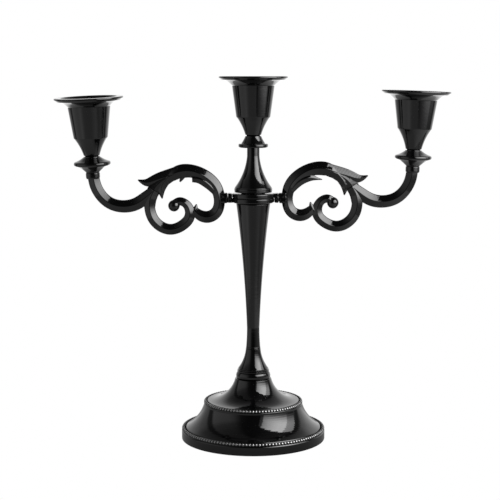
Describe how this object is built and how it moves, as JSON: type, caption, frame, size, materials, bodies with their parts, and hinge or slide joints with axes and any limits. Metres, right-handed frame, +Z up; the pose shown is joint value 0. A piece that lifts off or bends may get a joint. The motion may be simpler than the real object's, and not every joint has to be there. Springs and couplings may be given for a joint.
{
  "type": "candelabrum",
  "caption": "Table candelabrum with a stepped round base, slender stem, scrollwork arms that swivel about the stem, and flared candle cups on arms and finial.",
  "frame": {"origin": "centre of the base's underside, on the stem's axis", "axes": "+X along the right arm, +Z up the stem, -Y towards the front"},
  "size_m": [0.2899, 0.1072, 0.27],
  "materials": {
    "enamel": "gloss black enamel",
    "steel": "zinc plated",
    "felt": "pressed felt"
  },
  "bodies": {
    "stand": {"base": "enamel", "base_felt": "felt", "base_bolt": "steel", "base_washer": "steel", "lock_washer": "steel", "stem_foot": "enamel", "stem": "enamel", "top_stud": "steel"},
    "left_branch": {"left_arm": "enamel", "left_collar": "enamel", "left_cup": "enamel", "left_cup_screw": "steel"},
    "right_branch": {"right_arm": "enamel", "right_collar": "enamel", "right_cup": "enamel", "right_cup_screw": "steel"},
    "clamp": {"clamp_washer": "steel"},
    "finial_group": {"finial": "enamel", "centre_collar": "enamel", "centre_cup": "enamel", "centre_cup_screw": "steel"}
  },
  "joints": [
    {"name": "left_arm_swivel", "type": "hinge", "parent": "stand", "child": "left_branch", "pos_m": [0, 0, 0.17935], "axis": [0, 0, 1], "range_deg": [-70, 70]},
    {"name": "right_arm_swivel", "type": "hinge", "parent": "stand", "child": "right_branch", "pos_m": [0, 0, 0.18285], "axis": [0, 0, 1], "range_deg": [-70, 70]},
    {"name": "finial_lift", "type": "slide", "parent": "stand", "child": "clamp", "axis": [0, 0, 1], "range_m": [0, 0.008]},
    {"name": "finial_turn", "type": "hinge", "parent": "clamp", "child": "finial_group", "pos_m": [0, 0, 0.1853], "axis": [0, 0, 1], "range_deg": [0, 2881]}
  ],
  "couplings": [
    {"joint": "finial_turn", "follows": "finial_lift", "rad_per_m": 6283.2}
  ]
}
